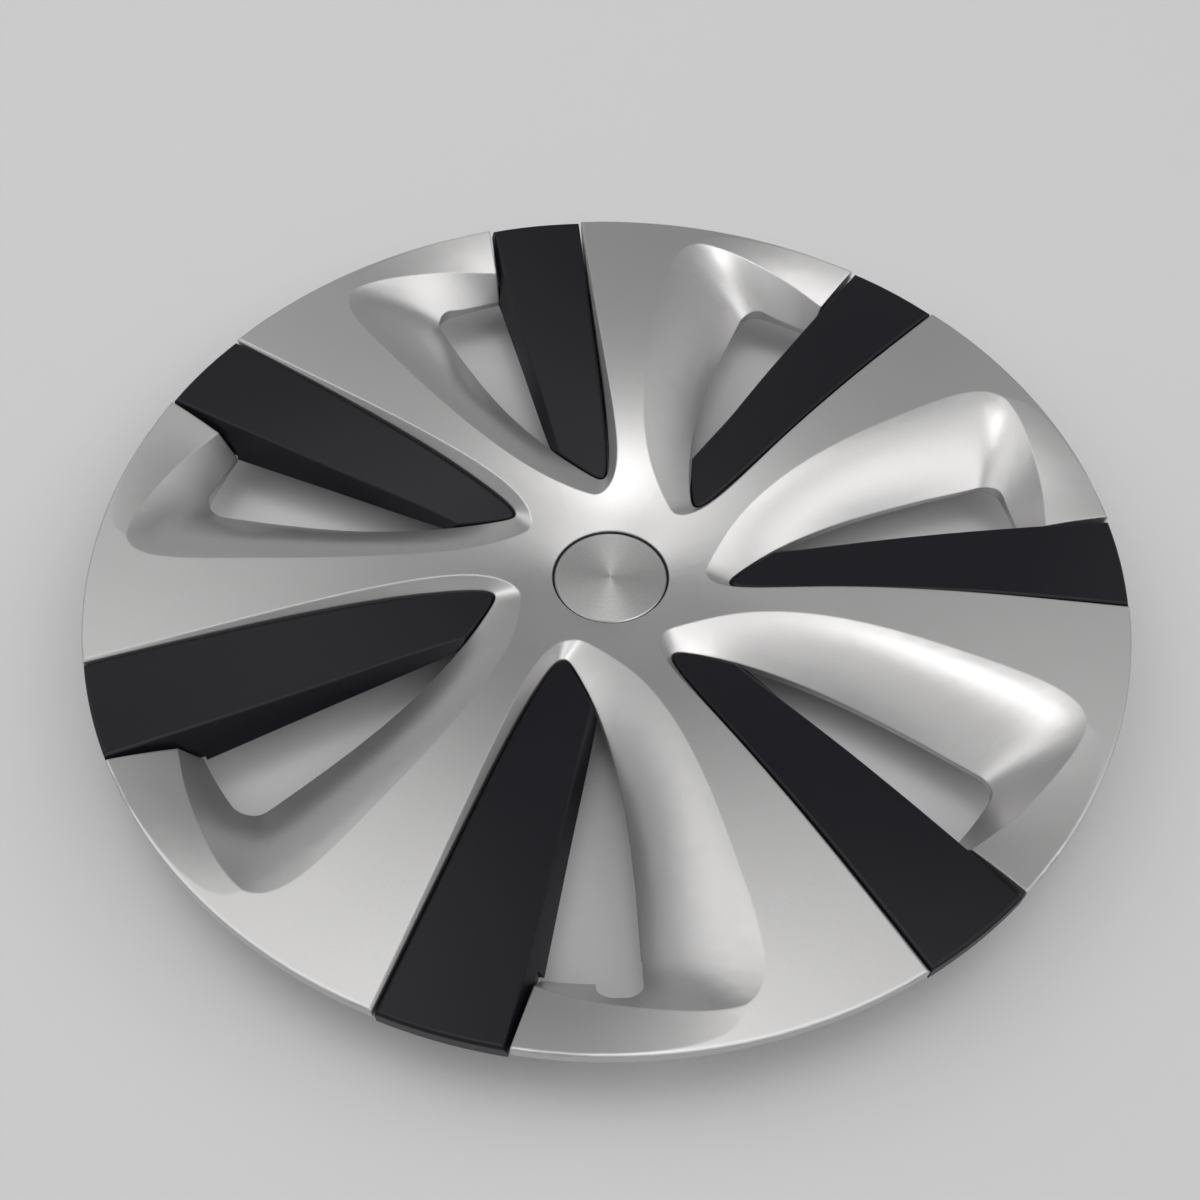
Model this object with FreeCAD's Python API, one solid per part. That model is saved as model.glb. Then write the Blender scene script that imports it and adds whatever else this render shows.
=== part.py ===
"""Wheel aero cover: a dished silver star with seven black blades, spring clips and a plain centre badge.

The cover lies face up on its clips. +Z points out of the face, and the origin is on the wheel axis, level with
the lowest clip faces. Inside this file heights are measured from the rim plane, and each finished piece is lifted
to the stand height. One seventh of the cover is drawn with its X axis along the rim corner of a blade.
"""
import FreeCAD, Part
import math
import os
from collections import namedtuple

Vector = FreeCAD.Vector
UP = Vector(0, 0, 1)
CENTRE = Vector(0, 0, 0)

# Overall sizes, in millimetres and degrees
BLADE_COUNT = 7
RIM_RADIUS = 240.0
FIRST_BLADE_ANGLE = -109.4
FACE_DROP = 28.0
FACE_POWER = 4
FACE_SPANS = 8
FACE_SPACING = 1.6
SKIN = 2.3
RIM_LIP_DEPTH = 6.0
RIM_LIP_ROUND = 1.2
BACK_DEPTH = 30.0
HUB_BACK_RADIUS = 60.0
HUB_BACK_DEPTH = 37.0
HUB_RING_RADIUS = 41.5

# Badge and its seat in the hub
BADGE_RADIUS = 27.4
BADGE_THICKNESS = 1.6
BADGE_EDGE = 0.5
CARRIER_WALL = 0.7
CARRIER_FLOOR = 1.6
CARRIER_CLEARANCE = 0.25
BADGE_CLEARANCE = 0.15
LEG_COUNT = 4
LEG_CIRCLE_RADIUS = 18.0
LEG_WIDTH = 7.0
LEG_THICKNESS = 1.8
LEG_BARB = 1.2
LEG_BARB_HEIGHT = 3.0
LEG_CLEARANCE = 0.3

# Windows and slots
RIM_BAND = 35.0
WINDOW_ANGLE = 25.1
WINDOW_CORNER = 10.0
RIM_CORNER_ANGLE = 12.8
WINDOW_CORNER_ANGLE = 14.0
FLANGE = 2.4
FLANGE_DEPTH = 25.7
VALVE_WIDTH = 18.5
VALVE_DEPTH = 10.0
VALVE_ROUND = 7.5

# Start of a pocket's flush wall past the rim: foot y, foot depth and crest y
FLUSH_START = (0.6, 0.9, -0.5)

# Pocket walls of one blade: foot x, foot y, foot depth, crest x, crest y and bulge of each station
FLUSH_WALL = (
    (190.0, -0.9, 1.5, 190.0, -1.9, 0.0),
    (140.0, -3.0, 5.0, 140.0, -4.7, 0.0),
    (100.0, -4.8, 11.2, 100.0, -7.3, 0.0),
    (72.0, -4.6, 17.4, 70.0, -8.9, 0.0),
)
TIP_WALL = (
    (59.5, -3.2, 20.6, 53.0, -6.0, 0.0),
    (56.3, 0.6, 21.3, 45.0, 1.5, 0.0),
    (60.0, 6.0, 21.2, 46.0, 8.5, 0.1),
)
SCOOP_WALL = (
    (72.0, 19.0, 21.0, 54.0, 28.0, 0.3),
    (90.0, 35.0, 21.4, 72.5, 52.0, 0.5),
    (118.0, 54.2, 22.6, 99.6, 77.2, 0.65),
    (150.0, 70.2, 23.3, 134.3, 104.2, 0.75),
)

# Round the window's outer corner and along its outer edge: foot angle, then the crest's radius and angle
WALL_DEPTH = 23.2
CORNER_CRESTS = ((210.0, 38.2, 0.8), (233.0, 35.4, 0.7))
CORNER_SPREAD = 5.0
OUTER_WALL = (
    (20.5, 226.5, 25.0, 0.3),
    (17.0, 221.6, 17.4, 0.0),
    (14.0, 216.8, 13.5, 0.0),
    (11.0, 216.0, 10.6, 0.0),
)

# Slope of the rim band: angle, distance of its crease from the window, depth of the crease
BAND_SLOPE = (
    (9.0, 6.5, 9.8),
    (13.6, 7.5, 8.7),
    (17.3, 11.8, 6.7),
    (21.0, 15.2, 4.6),
    (26.6, 19.5, 2.0),
    (31.0, 22.5, 0.5),
    (36.0, 24.5, -0.4),
    (41.0, 25.0, -1.2),
)
BAND_RIM_RISE = 0.2
BAND_CROWN = 0.12
BAND_PULL = 3.0
BAND_RUN = 0.3

# Blades
BLADE_GAP = 1.1
BLADE_WALL = 2.2
BLADE_EDGE_ROUND = 1.6
BLADE_FOOT_DEPTH = 23.0
BLADE_RIM_DEPTH = 9.0
RIDGE_START = (76.0, 21.1, -19.9)
RIDGE_MIDDLE = (145.0, 35.3, -9.9)
RIDGE_RIM = (236.0, 50.9, -0.3)
FOOT_START = (72.0, 23.2)
FOOT_END = (199.0, 50.6)
FOOT_CUT = 8.8
SIDE_STATIONS = 5

# Screws that hold the blades, and their bosses and ears
EAR_THICKNESS = 2.5
EAR_RADIUS = 6.0
BOSS_RADIUS = 4.2
PILOT_DEPTH = 11.0
SCREW_RADIUS = 1.5
THREAD_CLEARANCE = 0.05
SCREW_LENGTH = 12.0
SCREW_HOLE_CLEARANCE = 0.3
SCREW_HEAD_RADIUS = 3.2
SCREW_HEAD_HEIGHT = 2.0
SCREW_SOCKET_RADIUS = 1.3
SCREW_SOCKET_DEPTH = 1.2
OUTER_BOSS_OFFSET = 12.5
INNER_BOSS_OFFSET = 15.0
OUTER_BOSS_RADIUS = 205.0
INNER_BOSS_RADIUS = 118.0
RIM_BOSS_RADIUS = 222.0
RIM_BOSS_ANGLE = 17.2
RIM_EAR_ROOT = 1.0

# Clip posts and spring clips
POST_RADIUS = 186.0
POST_ANGLE = 7.0
POST_THICKNESS = 5.0
POST_WIDTH = 13.0
POST_LENGTH = 23.0
BRIDGE_LENGTH = 20.0
BRIDGE_THICKNESS = 3.0
CLIP_THICKNESS = 0.8
CLIP_WIDTH = 10.0
CLIP_CLEARANCE = 0.1
CLIP_LEG = 12.0
CLIP_BARB = 4.5
CLIP_BARB_RISE = 3.0

# Cutting allowances
OVERRUN = 10.0
SLOT_REACH = 1.2
FACE_REACH = 0.35
TOOL_HEIGHT = 60.0

STEP_ANGLE = 360.0 / BLADE_COUNT
PILOT_RADIUS = SCREW_RADIUS + THREAD_CLEARANCE
BACK_SLOPE_RADIUS = RIM_BOSS_RADIUS + 2 * BOSS_RADIUS
EAR_BOTTOM = -BACK_DEPTH - EAR_THICKNESS
WINDOW_RADIUS = RIM_RADIUS - RIM_BAND
CARRIER_RADIUS = BADGE_RADIUS + BADGE_CLEARANCE + CARRIER_WALL
SEAT_RADIUS = CARRIER_RADIUS + CARRIER_CLEARANCE
SEAT_DEPTH = FACE_DROP + BADGE_THICKNESS + CARRIER_FLOOR
POST_BOTTOM = -BLADE_FOOT_DEPTH - POST_LENGTH
STAND_HEIGHT = -POST_BOTTOM + CLIP_CLEARANCE + CLIP_THICKNESS

# One station of a pocket wall: the foot beside the blade or window, the crest on the face, the bulge between
Station = namedtuple("Station", "foot crest bulge")


def face_height(radius):
    """Height of the dished face: flat at the rim and falling steeply to the badge."""
    share = (RIM_RADIUS - radius) / (RIM_RADIUS - BADGE_RADIUS)
    return -FACE_DROP * share ** FACE_POWER


def polar(radius, degrees, height=0.0):
    """Point at a radius and an angle from the blade's rim corner."""
    turn = math.radians(degrees)
    return Vector(radius * math.cos(turn), radius * math.sin(turn), height)


def turned(shape, index):
    """Copy of a piece drawn for one seventh, turned to its place on the cover."""
    copy = shape.copy()
    copy.rotate(CENTRE, UP, FIRST_BLADE_ANGLE + index * STEP_ANGLE)
    return copy


def around(shape):
    """One turned copy of a shape for each blade."""
    return [turned(shape, index) for index in range(BLADE_COUNT)]


def curve(points):
    """Smooth edge through the points."""
    line = Part.BSplineCurve()
    line.interpolate([Vector(*point) for point in points])
    return line.toShape()


def even_knots(count, degree):
    """Knots and multiplicities of an open curve with evenly spaced spans."""
    spans = count - degree
    knots = [float(step) for step in range(spans + 1)]
    repeats = [degree + 1] + [1] * (spans - 1) + [degree + 1]
    return knots, repeats


def smooth_curve(poles):
    """Cubic edge drawn by its control points."""
    knots, repeats = even_knots(len(poles), 3)
    line = Part.BSplineCurve()
    line.buildFromPolesMultsKnots(poles, repeats, knots, False, 3)
    return line.toShape()


def smooth_face(rows):
    """Face drawn by rows of three control points: cubic along the rows, a parabola across each."""
    knots, repeats = even_knots(len(rows), 3)
    net = Part.BSplineSurface()
    net.buildFromPolesMultsKnots(rows, repeats, [3, 3], knots, [0.0, 1.0], False, False, 3, 2)
    return net.toShape()


def prism(edges, bottom, top):
    """Upright solid over a closed outline drawn at height zero."""
    face = Part.Face(Part.Wire(Part.__sortEdges__(edges)))
    face.translate(Vector(0, 0, bottom))
    return face.extrude(Vector(0, 0, top - bottom))


def cylinder(radius, bottom, top, centre=CENTRE):
    """Upright cylinder between two heights."""
    base = Vector(centre.x, centre.y, bottom)
    return Part.makeCylinder(radius, top - bottom, base, UP)


def pocket_stations():
    """Stations round one pocket, from the rim along the flush side, round the tip and back to the rim band."""
    rim = RIM_RADIUS + OVERRUN
    start_y, start_depth, start_crest = FLUSH_START
    stations = [Station(Vector(rim, start_y, -start_depth), Vector(rim, start_crest, 0), 0.0)]
    for x, y, depth, crest_x, crest_y, bulge in FLUSH_WALL + TIP_WALL + SCOOP_WALL:
        stations.append(Station(Vector(x, y, -depth), Vector(crest_x, crest_y, 0), bulge))
    corner = polar(WINDOW_RADIUS - WINDOW_CORNER, WINDOW_ANGLE, -WALL_DEPTH)
    along = polar(CORNER_SPREAD, WINDOW_ANGLE)
    for foot, (radius, degrees, bulge) in zip((corner - along / 2, corner + along), CORNER_CRESTS):
        stations.append(Station(foot, polar(radius, degrees), bulge))
    for foot_angle, radius, degrees, bulge in OUTER_WALL:
        foot = polar(WINDOW_RADIUS, foot_angle, -WALL_DEPTH)
        stations.append(Station(foot, polar(radius, degrees), bulge))
    return stations


def pocket_row(station):
    """Three control points of a wall parabola that starts inside the slot and ends just above the face."""
    face_z = face_height(math.hypot(station.crest.x, station.crest.y))
    across = Vector(station.crest.x - station.foot.x, station.crest.y - station.foot.y, 0)
    first = -SLOT_REACH / across.Length
    straight = 1.0 - station.bulge
    last = 1.0 + FACE_REACH * straight + SLOT_REACH / across.Length * straight ** 2
    middle = (first + last) / 2

    def lift(share):
        return (1.0 + station.bulge) * share - station.bulge * share ** 2

    crossing = lift(first) + (1.0 + station.bulge - 2 * station.bulge * first) * (middle - first)
    row = []
    for share, height in zip((first, middle, last), (lift(first), crossing, lift(last))):
        rise = Vector(0, 0, height * (face_z - station.foot.z))
        row.append(station.foot + across * share + rise)
    return row


def pocket_tool():
    """Space above one pocket wall: flush step, rounded tip, scoop and outer wall as one smooth surface."""
    rows = [pocket_row(station) for station in pocket_stations()]
    return smooth_face(rows).extrude(Vector(0, 0, TOOL_HEIGHT))


def rim_band_tool():
    """Space above the crowned slope of the rim band, deepest beside the blade and fading out along the rim."""
    rows = []
    for degrees, offset, depth in BAND_SLOPE:
        crease = polar(WINDOW_RADIUS + offset, degrees, -depth)
        along = polar(RIM_RADIUS, degrees, BAND_RIM_RISE) - crease
        crown = Vector(0, 0, max(depth, 0.0) * BAND_CROWN)
        start = crease - along * BAND_RUN - crown
        end = crease + along * (1.0 + BAND_RUN) - crown
        rows.append([start, (start + end) / 2 + crown * BAND_PULL, end])
    return smooth_face(rows).extrude(Vector(0, 0, TOOL_HEIGHT))


def slot_edges(grow=0.0):
    """Outline of one slot, blade and window together, open past the rim, grown or shrunk by a distance."""
    feet = []
    count = 1 + len(FLUSH_WALL + TIP_WALL + SCOOP_WALL)
    for station in pocket_stations()[:count]:
        away = Vector(station.crest.x - station.foot.x, station.crest.y - station.foot.y, 0).normalize()
        feet.append(Vector(station.foot.x, station.foot.y, 0) + away * grow)
    bend = math.degrees(math.asin(WINDOW_CORNER / (WINDOW_RADIUS - WINDOW_CORNER)))
    bend_centre = polar(WINDOW_RADIUS - WINDOW_CORNER, WINDOW_ANGLE - bend)
    corner = WINDOW_CORNER + grow
    side = bend_centre + polar(corner, WINDOW_ANGLE + 90.0)
    half_way = bend_centre + polar(corner, WINDOW_ANGLE + 45.0)
    outer = polar(WINDOW_RADIUS + grow, WINDOW_ANGLE - bend)
    outer_end_angle = WINDOW_CORNER_ANGLE + math.degrees(grow / WINDOW_RADIUS)
    outer_mid = polar(WINDOW_RADIUS + grow, (WINDOW_ANGLE - bend + outer_end_angle) / 2)
    outer_end = polar(WINDOW_RADIUS + grow, outer_end_angle)
    rim_corner = polar(RIM_RADIUS, RIM_CORNER_ANGLE + math.degrees(grow / RIM_RADIUS))
    past_rim = rim_corner + (rim_corner - outer_end).normalize() * OVERRUN
    return [
        smooth_curve(feet),
        Part.makeLine(feet[-1], side),
        Part.Arc(side, half_way, outer).toShape(),
        Part.Arc(outer, outer_mid, outer_end).toShape(),
        Part.makeLine(outer_end, past_rim),
        Part.makeLine(past_rim, feet[0]),
    ]


def slot_prism(grow, bottom, top):
    """Upright solid over the slot outline."""
    return prism(slot_edges(grow), bottom, top)


def valve_notch():
    """Rounded notch in the outer edge of one window, which leaves room for the tyre valve."""
    start = WINDOW_RADIUS - WINDOW_CORNER
    block = Part.makeBox(WINDOW_CORNER + VALVE_DEPTH, VALVE_WIDTH, TOOL_HEIGHT)
    block.translate(Vector(start, -VALVE_WIDTH / 2, -TOOL_HEIGHT / 2))
    corners = [edge for edge in block.Edges if is_upright(edge) and edge.CenterOfMass.x > WINDOW_RADIUS]
    block = block.makeFillet(VALVE_ROUND, corners)
    block.rotate(CENTRE, UP, WINDOW_ANGLE - math.degrees(VALVE_WIDTH / 2 / WINDOW_RADIUS))
    return block


def is_upright(edge):
    """Whether an edge is a straight upright line."""
    return abs(edge.BoundBox.ZLength - edge.Length) < 1e-6


def boss_places():
    """Places of the three screws of one blade."""
    return [
        Vector(OUTER_BOSS_RADIUS, -OUTER_BOSS_OFFSET, 0),
        Vector(INNER_BOSS_RADIUS, -INNER_BOSS_OFFSET, 0),
        polar(RIM_BOSS_RADIUS, RIM_BOSS_ANGLE),
    ]


def disc_block():
    """Solid of revolution between the dished face and the depth of the back flanges."""
    start = SEAT_RADIUS
    end = RIM_RADIUS - RIM_LIP_ROUND
    shares = [(step / FACE_SPANS) ** FACE_SPACING for step in range(FACE_SPANS + 1)]
    radii = [start + (end - start) * share for share in shares]
    face = curve([(radius, 0.0, face_height(radius)) for radius in radii])
    corner_mid = RIM_LIP_ROUND * (1.0 - math.sqrt(0.5))
    face_end = Vector(end, 0, face_height(end))
    lip_top = Vector(RIM_RADIUS, 0, -RIM_LIP_ROUND)
    lip_round = Part.Arc(face_end, Vector(RIM_RADIUS - corner_mid, 0, -corner_mid), lip_top).toShape()
    outline = [
        lip_top,
        Vector(RIM_RADIUS, 0, -RIM_LIP_DEPTH),
        Vector(RIM_RADIUS - SKIN, 0, -RIM_LIP_DEPTH),
        Vector(BACK_SLOPE_RADIUS, 0, -BACK_DEPTH),
        Vector(HUB_BACK_RADIUS, 0, -BACK_DEPTH),
        Vector(HUB_BACK_RADIUS, 0, -HUB_BACK_DEPTH),
        Vector(0, 0, -HUB_BACK_DEPTH),
        Vector(0, 0, -SEAT_DEPTH),
        Vector(SEAT_RADIUS, 0, -SEAT_DEPTH),
        Vector(SEAT_RADIUS, 0, face_height(SEAT_RADIUS)),
    ]
    lines = [Part.makeLine(a, b) for a, b in zip(outline, outline[1:])]
    profile = Part.Face(Part.Wire(Part.__sortEdges__([face, lip_round] + lines)))
    return profile.revolve(CENTRE, UP, 360)


def leg_slot(grow):
    """Upright slot or leg section on the leg circle, before it is turned."""
    block = Part.makeBox(LEG_THICKNESS + 2 * grow, LEG_WIDTH + 2 * grow, TOOL_HEIGHT)
    block.translate(Vector(LEG_CIRCLE_RADIUS - LEG_THICKNESS / 2 - grow, -LEG_WIDTH / 2 - grow, 0))
    return block


def around_legs(shape):
    """One copy of a shape for each leg of the badge carrier."""
    copies = []
    for index in range(LEG_COUNT):
        copy = shape.copy()
        copy.rotate(CENTRE, UP, index * 360.0 / LEG_COUNT)
        copies.append(copy)
    return copies


def front_cover():
    """Silver star moulding: dished skin, seven pockets with flanged slots, screw bosses and rim lip."""
    tools = around(pocket_tool()) + around(rim_band_tool())
    tools += around(slot_prism(0.0, -TOOL_HEIGHT, TOOL_HEIGHT))
    tools.append(turned(valve_notch(), 0))
    block = disc_block().cut(tools)
    hollow = block.copy()
    hollow.translate(Vector(0, 0, -SKIN))
    hollow = hollow.common(cylinder(RIM_RADIUS - SKIN, -TOOL_HEIGHT, 0))
    kept = around(slot_prism(FLANGE, -FLANGE_DEPTH, TOOL_HEIGHT))
    kept.append(cylinder(SEAT_RADIUS + FLANGE, -SEAT_DEPTH - SKIN, 0))
    ring = cylinder(HUB_RING_RADIUS + FLANGE / 2, -TOOL_HEIGHT, 0)
    kept.append(ring.cut(cylinder(HUB_RING_RADIUS - FLANGE / 2, -TOOL_HEIGHT, 0)))
    for place in boss_places():
        kept += around(cylinder(BOSS_RADIUS, -TOOL_HEIGHT, 0, place))
    cover = block.cut(hollow.cut(kept))
    pilots = []
    for place in boss_places():
        pilots += around(cylinder(PILOT_RADIUS, -TOOL_HEIGHT, -BACK_DEPTH + PILOT_DEPTH, place))
    slots = around_legs(leg_slot(LEG_CLEARANCE))
    for slot in slots:
        slot.translate(Vector(0, 0, -TOOL_HEIGHT - SEAT_DEPTH / 2))
    return cover.cut(pilots + slots)


def ridge_point(x):
    """Point of the blade's ridge, a gently bowed line from the hub to the rim."""
    points = (RIDGE_START, RIDGE_MIDDLE, RIDGE_RIM)
    y = 0.0
    z = 0.0
    for one in points:
        weight = 1.0
        for other in points:
            if other is not one:
                weight *= (x - other[0]) / (one[0] - other[0])
        y += weight * one[1]
        z += weight * one[2]
    return Vector(x, y, z)


def foot_point(x):
    """Point of the blade's lower edge on the window side."""
    share = (x - FOOT_START[0]) / (FOOT_END[0] - FOOT_START[0])
    return Vector(x, FOOT_START[1] + share * (FOOT_END[1] - FOOT_START[1]), -BLADE_FOOT_DEPTH)


def straight_row(start, end, before, after):
    """Three control points of a straight line through two points, run on past both."""
    along = (end - start).normalize()
    first = start - along * before
    last = end + along * after
    return [first, (first + last) * 0.5, last]


def blade_top_tool():
    """Space above a blade: a twisted top between the flush edge of the slot and the ridge."""
    flush = [station.foot for station in pocket_stations()[:len(FLUSH_WALL) + 2]]
    flush.append(flush[-1] * 2 - flush[-2])
    rows = [straight_row(point, ridge_point(point.x), OVERRUN, TOOL_HEIGHT) for point in flush]
    return smooth_face(rows).extrude(Vector(0, 0, TOOL_HEIGHT))


def blade_side_tool():
    """Space beside a blade, past the wall that slopes from the ridge to the foot."""
    length = RIM_RADIUS + OVERRUN - FOOT_START[0]
    stations = [FOOT_START[0] + length * step / (SIDE_STATIONS - 1) for step in range(SIDE_STATIONS)]
    rows = [straight_row(ridge_point(x), foot_point(x), TOOL_HEIGHT / 2, TOOL_HEIGHT / 2) for x in stations]
    return smooth_face(rows).extrude(Vector(0, TOOL_HEIGHT, 0))


def blade_block(inset):
    """Solid under a blade's outer skin, or inside it by an inset."""
    block = slot_prism(-BLADE_GAP - inset, EAR_BOTTOM - inset, OVERRUN)
    block = block.common(cylinder(RIM_RADIUS - inset, -TOOL_HEIGHT, TOOL_HEIGHT))
    top = blade_top_tool()
    top.translate(Vector(0, 0, -inset))
    side = blade_side_tool()
    side.translate(Vector(0, -inset, 0))
    return block.cut(side).cut(top)


def rounded_top(block):
    """Blade block with the long edges of its top rounded: flush side, rim end and ridge."""
    edges = [edge for edge in block.Edges if edge.Length > RIM_BAND and edge.BoundBox.ZMin > -BLADE_FOOT_DEPTH]
    return block.makeFillet(BLADE_EDGE_ROUND, edges)


def blade_underside():
    """Space under a blade: the slope behind the rim and the raised edge along the window."""
    ring = cylinder(RIM_RADIUS + OVERRUN, -TOOL_HEIGHT, -BLADE_RIM_DEPTH)
    rise = BACK_DEPTH - BLADE_RIM_DEPTH
    cone = Part.makeCone(BACK_SLOPE_RADIUS, RIM_RADIUS - SKIN, rise, Vector(0, 0, -BACK_DEPTH), UP)
    core = cylinder(BACK_SLOPE_RADIUS, -TOOL_HEIGHT, -BACK_DEPTH)
    slope = ring.cut([cone, core])
    start = foot_point(FOOT_START[0])
    end = foot_point(FOOT_END[0] + OVERRUN)
    inside = Vector(0, -FOOT_CUT, 0)
    outside = Vector(0, 2 * FOOT_CUT, 0)
    corners = [start + inside, end + inside, end + outside, start + outside, start + inside]
    floor = Part.Face(Part.makePolygon(corners))
    return [slope, floor.extrude(Vector(0, 0, -TOOL_HEIGHT))]


def ear(place, root):
    """Screw ear: a round-ended tab from the blade's wall to a boss."""
    along = root - place
    tab = Part.makeBox(along.Length, 2 * EAR_RADIUS, EAR_THICKNESS, Vector(0, -EAR_RADIUS, EAR_BOTTOM))
    tab.rotate(CENTRE, UP, math.degrees(math.atan2(along.y, along.x)))
    tab.translate(place)
    return tab.fuse(cylinder(EAR_RADIUS, EAR_BOTTOM, -BACK_DEPTH, place))


def ear_roots():
    """Points under the blade where its three ears start."""
    return [
        Vector(OUTER_BOSS_RADIUS, BLADE_GAP + BLADE_WALL, 0),
        Vector(INNER_BOSS_RADIUS, 0, 0),
        polar(RIM_BOSS_RADIUS, RIM_CORNER_ANGLE - RIM_EAR_ROOT),
    ]


def blade():
    """Black blade: a hollow moulding with a sloped top, a side wall, screw ears and a clip post."""
    outer = rounded_top(blade_block(0.0))
    shell = outer.cut(blade_block(BLADE_WALL)).cut(blade_underside())
    bridge = Part.makeBox(BRIDGE_LENGTH, RIM_RADIUS, BRIDGE_THICKNESS)
    bridge.translate(Vector(POST_RADIUS - BRIDGE_LENGTH / 2, -RIM_RADIUS / 2, -BLADE_FOOT_DEPTH))
    bridge.rotate(CENTRE, UP, POST_ANGLE)
    post = Part.makeBox(POST_THICKNESS, POST_WIDTH, POST_LENGTH)
    post.translate(Vector(POST_RADIUS - POST_THICKNESS / 2, -POST_WIDTH / 2, POST_BOTTOM))
    post.rotate(CENTRE, UP, POST_ANGLE)
    pieces = [bridge.common(outer), post]
    pieces += [ear(place, root) for place, root in zip(boss_places(), ear_roots())]
    holes = []
    for place in boss_places():
        holes.append(cylinder(SCREW_RADIUS + SCREW_HOLE_CLEARANCE, EAR_BOTTOM, -BACK_DEPTH, place))
    return shell.fuse(pieces).cut(holes).removeSplitter()


def strip_outline(path, thickness):
    """Closed outline of a bent strip of even thickness along a path of (radius, height) points."""
    left = []
    right = []
    for index, point in enumerate(path):
        before = path[max(index - 1, 0)]
        after = path[min(index + 1, len(path) - 1)]
        one = (point - before).normalize() if index else (after - point).normalize()
        two = (after - point).normalize() if index < len(path) - 1 else one
        normal = (UP.cross(one) + UP.cross(two)).normalize()
        reach = thickness / 2 / normal.dot(UP.cross(one))
        left.append(point + normal * reach)
        right.append(point - normal * reach)
    return left + right[::-1] + left[:1]


def retaining_clip():
    """Spring clip: a steel strip folded round a post, with a barb on its outer leg."""
    reach = POST_THICKNESS / 2 + CLIP_CLEARANCE + CLIP_THICKNESS / 2
    low = POST_BOTTOM - CLIP_CLEARANCE - CLIP_THICKNESS / 2
    shoulder = low + CLIP_LEG / 3
    path = [
        Vector(-reach, low + CLIP_LEG, 0),
        Vector(-reach, low, 0),
        Vector(reach, low, 0),
        Vector(reach, shoulder, 0),
        Vector(reach + CLIP_BARB, shoulder + CLIP_BARB_RISE, 0),
        Vector(reach + CLIP_THICKNESS, low + CLIP_LEG, 0),
    ]
    face = Part.Face(Part.makePolygon(strip_outline(path, CLIP_THICKNESS)))
    clip = face.extrude(Vector(0, 0, CLIP_WIDTH))
    clip.translate(Vector(0, 0, -CLIP_WIDTH / 2))
    clip.rotate(CENTRE, Vector(1, 0, 0), 90)
    clip.translate(Vector(POST_RADIUS, 0, 0))
    clip.rotate(CENTRE, UP, POST_ANGLE)
    return clip


def badge_carrier():
    """Black cup under the badge, with barbed legs that snap through the hub."""
    cup = cylinder(CARRIER_RADIUS, -SEAT_DEPTH, -FACE_DROP - BADGE_EDGE)
    cup = cup.cut(cylinder(CARRIER_RADIUS - CARRIER_WALL, -SEAT_DEPTH + CARRIER_FLOOR, 0))
    seat_back = SEAT_DEPTH + SKIN + LEG_CLEARANCE
    tip = seat_back + LEG_BARB_HEIGHT
    inner = LEG_CIRCLE_RADIUS - LEG_THICKNESS / 2
    outer = LEG_CIRCLE_RADIUS + LEG_THICKNESS / 2
    profile = [
        Vector(inner, 0, -SEAT_DEPTH),
        Vector(outer, 0, -SEAT_DEPTH),
        Vector(outer, 0, -seat_back),
        Vector(outer + LEG_BARB, 0, -seat_back),
        Vector(outer, 0, -tip),
        Vector(inner, 0, -tip),
    ]
    leg = Part.Face(Part.makePolygon(profile + profile[:1])).extrude(Vector(0, LEG_WIDTH, 0))
    leg.translate(Vector(0, -LEG_WIDTH / 2, 0))
    return cup.fuse(around_legs(leg)).removeSplitter()


def badge_disc():
    """Plain metal disc with a bevelled edge, bare of any mark."""
    disc = cylinder(BADGE_RADIUS, -FACE_DROP - BADGE_THICKNESS, -FACE_DROP)
    rim = [edge for edge in disc.Edges if edge.Closed and abs(edge.CenterOfMass.z + FACE_DROP) < 1e-6]
    return disc.makeChamfer(BADGE_EDGE, rim)


def blade_screws():
    """All the pan-head screws behind the blades, as one group of separate solids."""
    screws = []
    for place in boss_places():
        top = EAR_BOTTOM + SCREW_LENGTH
        head = cylinder(SCREW_HEAD_RADIUS, EAR_BOTTOM - SCREW_HEAD_HEIGHT, EAR_BOTTOM, place)
        screw = head.fuse(cylinder(SCREW_RADIUS, EAR_BOTTOM, top, place))
        socket_bottom = EAR_BOTTOM - SCREW_HEAD_HEIGHT
        socket = cylinder(SCREW_SOCKET_RADIUS, socket_bottom, socket_bottom + SCREW_SOCKET_DEPTH, place)
        screws += around(screw.cut(socket))
    return Part.makeCompound([solid for screw in screws for solid in screw.Solids])


def save(name, shape):
    """Lift a finished piece to the stand height and write its file."""
    shape.translate(Vector(0, 0, STAND_HEIGHT))
    shape.exportStep(os.path.join("parts", name + ".step"))


def main():
    """Build every piece and write one file for each."""
    os.makedirs("parts", exist_ok=True)
    save("front_cover", front_cover())
    for index, piece in enumerate(around(blade())):
        save(f"blade_{index + 1}", piece)
    for index, piece in enumerate(around(retaining_clip())):
        save(f"retaining_clip_{index + 1}", piece)
    save("badge_carrier", badge_carrier())
    save("badge_disc", badge_disc())
    save("blade_screws", blade_screws())


if __name__ == "__main__":
    main()
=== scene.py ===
"""Looks of a wheel aero cover: satin silver star, grained black blades, spun badge and spring clips.

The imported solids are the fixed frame. Lengths are in metres and angles in degrees, unless a name says
otherwise.
"""
from __future__ import annotations

import logging
import math
from dataclasses import dataclass
from enum import Enum
from typing import Any

import bmesh
import bpy
from mathutils import Matrix, Vector

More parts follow.
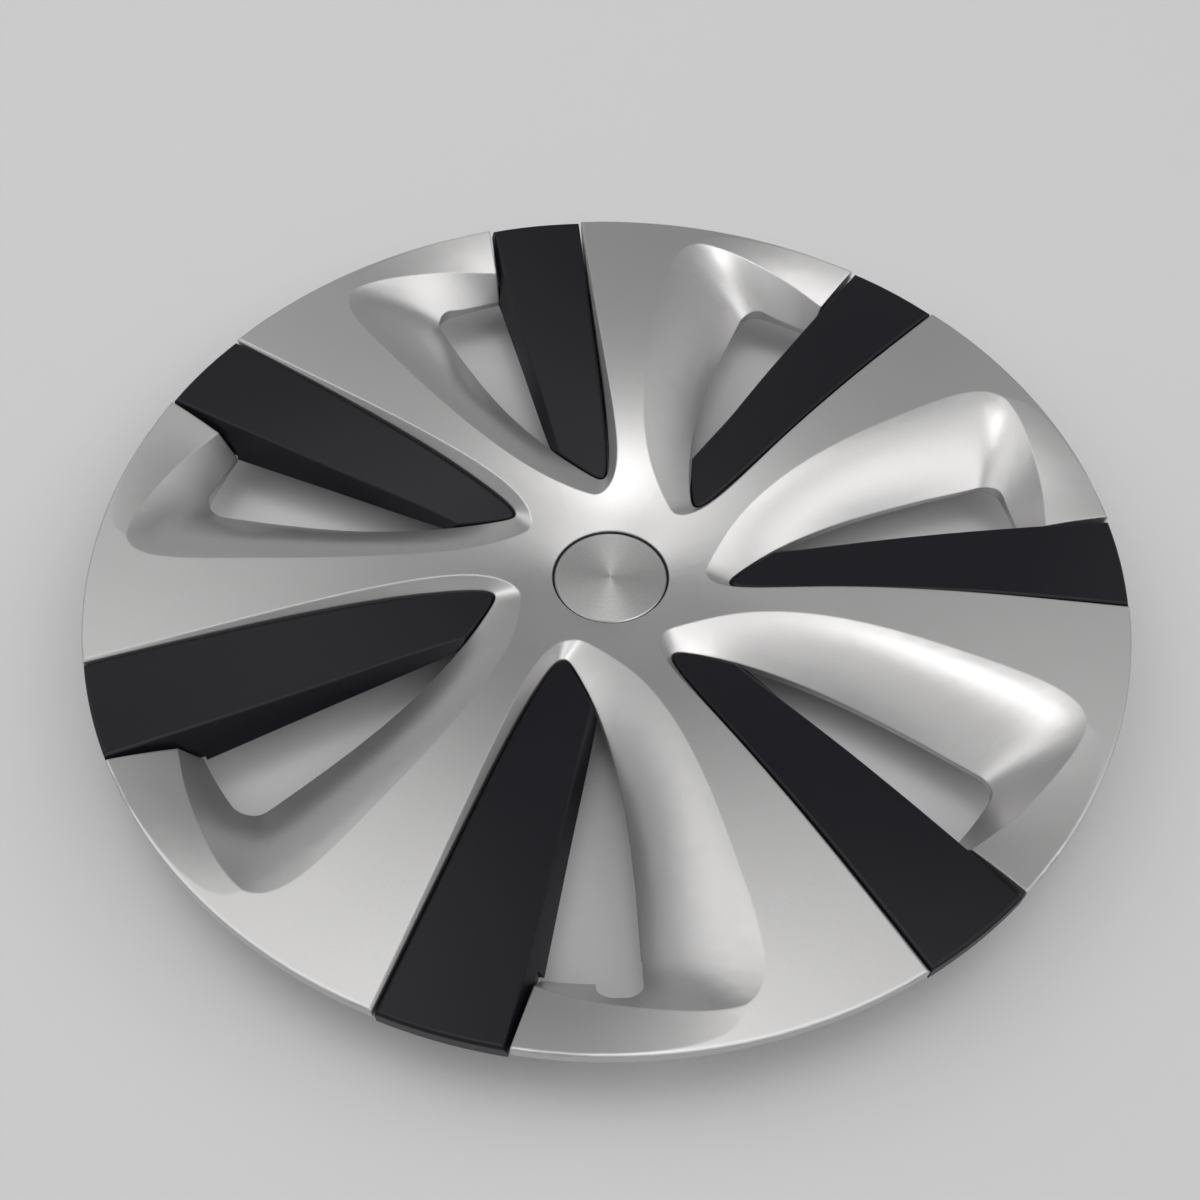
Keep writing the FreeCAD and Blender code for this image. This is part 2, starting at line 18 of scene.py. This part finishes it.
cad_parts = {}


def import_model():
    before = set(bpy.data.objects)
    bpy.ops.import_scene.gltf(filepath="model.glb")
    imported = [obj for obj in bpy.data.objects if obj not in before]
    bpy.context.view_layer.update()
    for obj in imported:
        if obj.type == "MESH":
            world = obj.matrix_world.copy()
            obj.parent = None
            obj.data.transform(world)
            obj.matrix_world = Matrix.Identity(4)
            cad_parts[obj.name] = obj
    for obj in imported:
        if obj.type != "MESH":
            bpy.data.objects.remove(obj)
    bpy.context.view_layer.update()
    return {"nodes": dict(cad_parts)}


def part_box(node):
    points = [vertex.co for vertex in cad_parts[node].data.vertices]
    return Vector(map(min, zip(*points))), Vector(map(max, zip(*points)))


LOG = logging.getLogger("aero_cover")
FRAME: dict[str, Any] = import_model()
PHOTO_PIXELS = 1200
EDGE_ROUND = 0.0012
EDGE_SAMPLES = 4

Colour = tuple[float, float, float]
Place = tuple[float, float]


class Value:
    """A shader socket that takes part in Python arithmetic."""

    def __init__(self, tree: bpy.types.NodeTree, socket: bpy.types.NodeSocket) -> None:
        """Wrap an output socket.

        Args:
            tree: Node tree that the socket belongs to.
            socket: Output socket to compute with.
        """
        self.tree = tree
        self.socket = socket

    def _math(self, operation: str, other: Value | float, swap: bool = False, clamp: bool = False) -> Value:
        """Add a Math node.

        Args:
            operation: Name of the Math operation.
            other: Second operand.
            swap: Whether the operands change places.
            clamp: Whether the result is kept between 0 and 1.

        Returns:
            The result of the operation.
        """
        node = self.tree.nodes.new("ShaderNodeMath")
        node.operation = operation
        node.use_clamp = clamp
        places = (1, 0) if swap else (0, 1)
        for place, operand in zip(places, (self, other)):
            if isinstance(operand, Value):
                self.tree.links.new(operand.socket, node.inputs[place])
            else:
                node.inputs[place].default_value = operand
        return Value(self.tree, node.outputs[0])

    def __add__(self, other: Value | float) -> Value:
        """Sum."""
        return self._math("ADD", other)

    __radd__ = __add__

    def __sub__(self, other: Value | float) -> Value:
        """Difference."""
        return self._math("SUBTRACT", other)

    def __rsub__(self, other: float) -> Value:
        """Difference from a number."""
        return self._math("SUBTRACT", other, swap=True)

    def __mul__(self, other: Value | float) -> Value:
        """Product."""
        return self._math("MULTIPLY", other)

    __rmul__ = __mul__

    def __pow__(self, other: float) -> Value:
        """Power."""
        return self._math("POWER", other)

    def clamped(self) -> Value:
        """The value kept between 0 and 1."""
        return self._math("ADD", 0.0, clamp=True)


class Graph:
    """A node tree with short ways to add and link nodes."""

    def __init__(self, tree: bpy.types.NodeTree) -> None:
        """Wrap a node tree.

        Args:
            tree: Tree that the nodes are added to.
        """
        self.tree = tree

    def node(self, kind: str, settings: dict[str, Any] | None = None, **sockets: Any) -> bpy.types.Node:
        """Add a node.

        Args:
            kind: Type of the node.
            settings: Properties that are set first.
            sockets: Values or links of the inputs, by name with spaces as underscores.

        Returns:
            The new node.
        """
        node = self.tree.nodes.new(kind)
        for key, setting in (settings or {}).items():
            setattr(node, key, setting)
        for key, content in sockets.items():
            self.feed(node.inputs[key.replace("_", " ")], content)
        return node

    def feed(self, target: bpy.types.NodeSocket, content: Any) -> None:
        """Link or set an input socket.

        Args:
            target: Input socket.
            content: Value or output socket to link, or a plain setting.
        """
        if isinstance(content, Value):
            self.tree.links.new(content.socket, target)
        elif isinstance(content, bpy.types.NodeSocket):
            self.tree.links.new(content, target)
        else:
            target.default_value = content

    def value(self, socket: bpy.types.NodeSocket) -> Value:
        """Wrap a socket for arithmetic."""
        return Value(self.tree, socket)

    def mix(self, share: Value, first: Colour, second: Colour) -> bpy.types.NodeSocket:
        """Blend two colours.

        Args:
            share: Share of the second colour.
            first: Colour at share 0.
            second: Colour at share 1.

        Returns:
            The blended colour.
        """
        node = self.node("ShaderNodeMix", {"data_type": "RGBA"})
        self.feed(node.inputs[0], share)
        node.inputs[6].default_value = (*first, 1.0)
        node.inputs[7].default_value = (*second, 1.0)
        return node.outputs[2]


class Shader(Graph):
    """A material with a Principled surface."""

    def __init__(self, name: str) -> None:
        """Make an empty material.

        Args:
            name: Name of the material.
        """
        self.material = bpy.data.materials.new(name)
        self.material.use_nodes = True
        super().__init__(self.material.node_tree)
        self.surface = self.tree.nodes["Principled BSDF"]

    def place(self) -> bpy.types.NodeSocket:
        """Object coordinates, in metres."""
        return self.node("ShaderNodeTexCoord").outputs["Object"]

    def noise(self, scale: float, detail: float = 2.0, vector: Any = None) -> Value:
        """Fractal noise between 0 and 1.

        Args:
            scale: Grains per metre.
            detail: Octaves of finer grain.
            vector: Coordinates, or none for the object's own.

        Returns:
            The noise value.
        """
        place = self.place() if vector is None else vector
        grain = self.node("ShaderNodeTexNoise", Vector=place, Scale=scale, Detail=detail)
        return self.value(grain.outputs["Fac"])

    def bump(self, height: Value, distance: float, strength: float, edge: float = 0.0) -> None:
        """Raise the surface by a height and soften its sharp edges.

        Args:
            height: Height between 0 and 1.
            distance: Height of 1, in metres.
            strength: Share of the effect.
            edge: Radius of the softened edges, or 0 for sharp ones.
        """
        node = self.node("ShaderNodeBump", Height=height, Distance=distance, Strength=strength)
        if edge > 0.0:
            soft = self.node("ShaderNodeBevel", {"samples": EDGE_SAMPLES}, Radius=edge)
            self.feed(node.inputs["Normal"], soft.outputs["Normal"])
        self.feed(self.surface.inputs["Normal"], node.outputs["Normal"])

    def set(self, **sockets: Any) -> None:
        """Set or link inputs of the surface, by name with spaces as underscores."""
        for key, content in sockets.items():
            self.feed(self.surface.inputs[key.replace("_", " ")], content)


@dataclass(frozen=True)
class SilverPaint:
    """Satin silver metallic paint with fine flakes and a faint orange peel."""

    name: str
    dark: Colour = (0.455, 0.45, 0.45)
    light: Colour = (0.575, 0.567, 0.562)
    metallic: float = 0.82
    roughness: float = 0.36
    roughness_spread: float = 0.12
    flake_scale: float = 5200.0
    flake_contrast: float = 1.6
    patch_scale: float = 9.0
    patch_contrast: float = 0.4
    coat: float = 0.25
    coat_roughness: float = 0.12
    peel_scale: float = 240.0
    peel_height: float = 0.00002
    peel_strength: float = 0.35

    def material(self) -> bpy.types.Material:
        """Build the paint.

        Returns:
            The paint's material.
        """
        shader = Shader(self.name)
        flakes = shader.noise(self.flake_scale, 1.0)
        patch = shader.noise(self.patch_scale, 3.0)
        tone = ((flakes - 0.5) * self.flake_contrast + (patch - 0.5) * self.patch_contrast + 0.5).clamped()
        shader.set(Base_Color=shader.mix(tone, self.dark, self.light))
        shader.set(Metallic=self.metallic, Roughness=(flakes - 0.5) * self.roughness_spread + self.roughness)
        shader.set(Coat_Weight=self.coat, Coat_Roughness=self.coat_roughness)
        shader.bump(shader.noise(self.peel_scale), self.peel_height, self.peel_strength, EDGE_ROUND)
        return shader.material


@dataclass(frozen=True)
class GrainedBlack:
    """Black moulded plastic with a fine spark-eroded grain."""

    name: str
    dark: Colour = (0.0027, 0.0024, 0.0042)
    light: Colour = (0.0074, 0.0066, 0.0108)
    roughness: float = 0.42
    roughness_spread: float = 0.12
    specular: float = 0.24
    haze_scale: float = 14.0
    grain_scale: float = 2600.0
    grain_detail: float = 2.5
    grain_height: float = 0.00006
    grain_strength: float = 0.5

    def material(self) -> bpy.types.Material:
        """Build the plastic.

        Returns:
            The plastic's material.
        """
        shader = Shader(self.name)
        grain = shader.noise(self.grain_scale, self.grain_detail)
        haze = shader.noise(self.haze_scale, 3.0)
        shader.set(Base_Color=shader.mix(grain, self.dark, self.light))
        shader.set(Roughness=(haze - 0.5) * self.roughness_spread + self.roughness)
        shader.set(Specular_IOR_Level=self.specular)
        shader.bump(grain, self.grain_height, self.grain_strength)
        return shader.material


@dataclass(frozen=True)
class SpunMetal:
    """Metal brushed in circles about the wheel axis."""

    name: str
    dark: Colour = (0.54, 0.54, 0.54)
    light: Colour = (0.74, 0.74, 0.73)
    roughness: float = 0.27
    roughness_spread: float = 0.2
    anisotropic: float = 0.85
    highlight_turn: float = 0.25
    groove_scale: float = 9000.0
    groove_height: float = 0.00001
    groove_strength: float = 0.25

    def material(self) -> bpy.types.Material:
        """Build the metal.

        Returns:
            The metal's material.
        """
        shader = Shader(self.name)
        flat = shader.node("ShaderNodeVectorMath", {"operation": "MULTIPLY"})
        shader.feed(flat.inputs[0], shader.place())
        flat.inputs[1].default_value = (1.0, 1.0, 0.0)
        length = shader.node("ShaderNodeVectorMath", {"operation": "LENGTH"})
        shader.feed(length.inputs[0], flat.outputs[0])
        radius = shader.value(length.outputs["Value"])
        ring = shader.node("ShaderNodeTexNoise", {"noise_dimensions": "1D"}, Scale=1.0, Detail=3.0)
        shader.feed(ring.inputs["W"], radius * self.groove_scale)
        groove = shader.value(ring.outputs["Fac"])
        shader.set(Base_Color=shader.mix(groove, self.dark, self.light), Metallic=1.0)
        shader.set(Roughness=(groove - 0.5) * self.roughness_spread + self.roughness)
        shader.set(Anisotropic=self.anisotropic, Anisotropic_Rotation=self.highlight_turn)
        shader.bump(groove, self.groove_height, self.groove_strength)
        return shader.material


@dataclass(frozen=True)
class BareSteel:
    """Rolled or plated steel with a soft directional grain."""

    name: str
    dark: Colour
    light: Colour
    roughness: float
    roughness_spread: float = 0.2
    grain_scales: tuple[float, float, float] = (300.0, 300.0, 4000.0)

    def material(self) -> bpy.types.Material:
        """Build the steel.

        Returns:
            The steel's material.
        """
        shader = Shader(self.name)
        stretch = shader.node("ShaderNodeMapping", Vector=shader.place(), Scale=self.grain_scales)
        grain = shader.noise(1.0, 3.0, stretch.outputs["Vector"])
        shader.set(Base_Color=shader.mix(grain, self.dark, self.light), Metallic=1.0)
        shader.set(Roughness=(grain - 0.5) * self.roughness_spread + self.roughness)
        return shader.material


class Slot(Enum):
    """Finishes of the pieces."""

    PAINT = "silver_paint"
    GRAIN = "black_grain"
    CUP = "black_cup"
    SPUN = "brushed_badge"
    SPRING = "spring_steel"
    ZINC = "zinc_screw"


class Workshop:
    """The finishes of the cover, each made once."""

    def __init__(self) -> None:
        """Make every finish."""
        spring = BareSteel(
            Slot.SPRING.value, dark=(0.16, 0.165, 0.175), light=(0.34, 0.345, 0.355), roughness=0.34
        )
        zinc = BareSteel(Slot.ZINC.value, dark=(0.42, 0.42, 0.43), light=(0.62, 0.62, 0.61), roughness=0.3)
        self.finishes: dict[Slot, bpy.types.Material] = {
            Slot.PAINT: SilverPaint(Slot.PAINT.value).material(),
            Slot.GRAIN: GrainedBlack(Slot.GRAIN.value).material(),
            Slot.CUP: GrainedBlack(Slot.CUP.value, grain_strength=0.15).material(),
            Slot.SPUN: SpunMetal(Slot.SPUN.value).material(),
            Slot.SPRING: spring.material(),
            Slot.ZINC: zinc.material(),
        }

    def dress(self, node: str, slot: Slot) -> None:
        """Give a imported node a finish.

        Args:
            node: Name of the node.
            slot: Finish that it gets.
        """
        data = FRAME["nodes"][node].data
        data.materials.clear()
        data.materials.append(self.finishes[slot])
        LOG.info("dressed %s with %s", node, slot.value)


@dataclass(frozen=True)
class StarCover:
    """The painted star and the black blades screwed into its slots."""

    blade_count: int = 7

    def dress(self, workshop: Workshop) -> None:
        """Paint the star, and finish the blades and their screws.

        Args:
            workshop: Finishes to choose from.
        """
        workshop.dress("front_cover", Slot.PAINT)
        for index in range(self.blade_count):
            workshop.dress(f"blade_{index + 1}", Slot.GRAIN)
        workshop.dress("blade_screws", Slot.ZINC)


@dataclass(frozen=True)
class ClipRing:
    """The spring clips behind the blades."""

    clip_count: int = 7

    def dress(self, workshop: Workshop) -> None:
        """Finish every clip.

        Args:
            workshop: Finishes to choose from.
        """
        for index in range(self.clip_count):
            workshop.dress(f"retaining_clip_{index + 1}", Slot.SPRING)


@dataclass(frozen=True)
class Badge:
    """The bare disc in its black cup."""

    def dress(self, workshop: Workshop) -> None:
        """Finish the cup and the disc.

        Args:
            workshop: Finishes to choose from.
        """
        workshop.dress("badge_carrier", Slot.CUP)
        workshop.dress("badge_disc", Slot.SPUN)


@dataclass(frozen=True)
class PhotoCamera:
    """Camera that stands where the photograph was taken."""

    focal_pixels: float = 1287.0
    elevation: float = 53.29
    distance: float = 0.583
    aim: tuple[float, float] = (0.0085, -0.0362)
    roll: float = 2.16
    centre_pixels: tuple[float, float] = (627.1, 602.4)
    sensor: float = 36.0
    nearest: float = 0.01

    def build(self, rim_height: float) -> None:
        """Place the camera.

        Args:
            rim_height: Height of the rim plane that the aim lies in.
        """
        camera = bpy.data.cameras.new("camera")
        camera.sensor_width = self.sensor
        camera.lens = self.focal_pixels / PHOTO_PIXELS * self.sensor
        camera.shift_x = (PHOTO_PIXELS / 2 - self.centre_pixels[0]) / PHOTO_PIXELS
        camera.shift_y = (self.centre_pixels[1] - PHOTO_PIXELS / 2) / PHOTO_PIXELS
        camera.clip_start = self.nearest
        tilt = math.radians(self.elevation)
        back = Vector((0.0, -math.cos(tilt), math.sin(tilt)))
        stand = Vector((*self.aim, rim_height)) + back * self.distance
        piece = bpy.data.objects.new("camera", camera)
        turn = Matrix.Rotation(math.radians(90.0 - self.elevation), 4, "X")
        lean = Matrix.Rotation(math.radians(self.roll), 4, "Z")
        piece.matrix_world = Matrix.Translation(stand) @ turn @ lean
        bpy.context.scene.collection.objects.link(piece)
        bpy.context.scene.camera = piece


@dataclass(frozen=True)
class Glow:
    """A soft bright patch of the sky."""

    direction: tuple[float, float, float]
    strength: float
    sharpness: float


@dataclass(frozen=True)
class Studio:
    """Pale floor and wall under a plain sky with soft glows."""

    floor_colour: Colour = (0.577, 0.575, 0.583)
    floor_roughness: float = 0.75
    floor_radius: float = 1.3
    floor_segments: int = 128
    wall_bend: float = 0.4
    wall_height: float = 0.85
    bend_steps: int = 12
    sky_colour: Colour = (1.0, 1.0, 1.0)
    sky_base: float = 0.15
    glows: tuple[Glow, ...] = (
        Glow((0.0, 0.05, 1.0), 4.6, 40.0),
        Glow((-0.45, 0.3, 0.84), 0.7, 12.0),
        Glow((0.7, 0.0, 0.71), 1.0, 12.0),
        Glow((-0.7, 0.0, 0.71), 1.2, 12.0),
        Glow((0.5, -0.5, 0.71), 2.0, 12.0),
        Glow((-0.5, -0.5, 0.71), 0.7, 12.0),
        Glow((0.86, 0.1, 0.5), 0.9, 16.0),
        Glow((0.38, 0.44, 0.81), 0.45, 40.0),
        Glow((-0.38, 0.4, 0.83), 0.3, 40.0),
    )

    def build(self) -> None:
        """Build the floor and the sky."""
        self._floor()
        self._sky()

    def _floor(self) -> None:
        """Build a round floor that curves up into a low wall on all sides."""
        mesh = bmesh.new()
        bmesh.ops.create_circle(mesh, cap_ends=True, radius=self.floor_radius, segments=self.floor_segments)
        rim = list(mesh.edges)
        place = (self.floor_radius, 0.0)
        for step in range(self.bend_steps):
            turn = math.radians(90.0) * (step + 1) / self.bend_steps
            spread = self.floor_radius + self.wall_bend * math.sin(turn)
            lifted = (spread, self.wall_bend * (1.0 - math.cos(turn)))
            rim = self._raise(mesh, rim, place, lifted)
            place = lifted
        self._raise(mesh, rim, place, (place[0], self.wall_height))
        for face in mesh.faces:
            face.smooth = len(face.verts) == 4
        data = bpy.data.meshes.new("floor")
        mesh.to_mesh(data)
        mesh.free()
        floor = bpy.data.objects.new("floor", data)
        bpy.context.scene.collection.objects.link(floor)
        shader = Shader("pale_floor")
        shader.set(Base_Color=(*self.floor_colour, 1.0), Roughness=self.floor_roughness)
        data.materials.append(shader.material)

    @staticmethod
    def _raise(mesh: bmesh.types.BMesh, rim: list, old: Place, new: Place) -> list:
        """Extrude a round rim to a new radius and height.

        Args:
            mesh: Mesh that the rim belongs to.
            rim: Edges of the rim.
            old: Radius and height of the rim.
            new: Radius and height that it is extruded to.

        Returns:
            Edges of the new rim.
        """
        lifted = bmesh.ops.extrude_edge_only(mesh, edges=rim)["geom"]
        corners = [item for item in lifted if isinstance(item, bmesh.types.BMVert)]
        growth = new[0] / old[0]
        bmesh.ops.scale(mesh, vec=(growth, growth, 1.0), verts=corners)
        bmesh.ops.translate(mesh, vec=(0.0, 0.0, new[1] - old[1]), verts=corners)
        return [item for item in lifted if isinstance(item, bmesh.types.BMEdge)]

    def _sky(self) -> None:
        """Build a plain sky with soft glows."""
        world = bpy.data.worlds.new("studio")
        world.use_nodes = True
        bpy.context.scene.world = world
        graph = Graph(world.node_tree)
        way = graph.node("ShaderNodeTexCoord").outputs["Generated"]
        total: Value | float = self.sky_base
        for glow in self.glows:
            dot = graph.node("ShaderNodeVectorMath", {"operation": "DOT_PRODUCT"})
            graph.feed(dot.inputs[0], way)
            dot.inputs[1].default_value = Vector(glow.direction).normalized()
            facing = graph.value(dot.outputs["Value"]).clamped()
            total = facing**glow.sharpness * glow.strength + total
        background = graph.tree.nodes["Background"]
        background.inputs["Color"].default_value = (*self.sky_colour, 1.0)
        graph.feed(background.inputs["Strength"], total)


def main() -> None:
    """Build the looks piece by piece."""
    logging.basicConfig(level=logging.INFO)
    scene = bpy.context.scene
    scene.view_settings.view_transform = "Standard"
    rim_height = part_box("front_cover")[1].z
    PhotoCamera().build(rim_height)
    Studio().build()
    workshop = Workshop()
    for piece in (StarCover(), ClipRing(), Badge()):
        piece.dress(workshop)


if __name__ == "__main__":
    main()
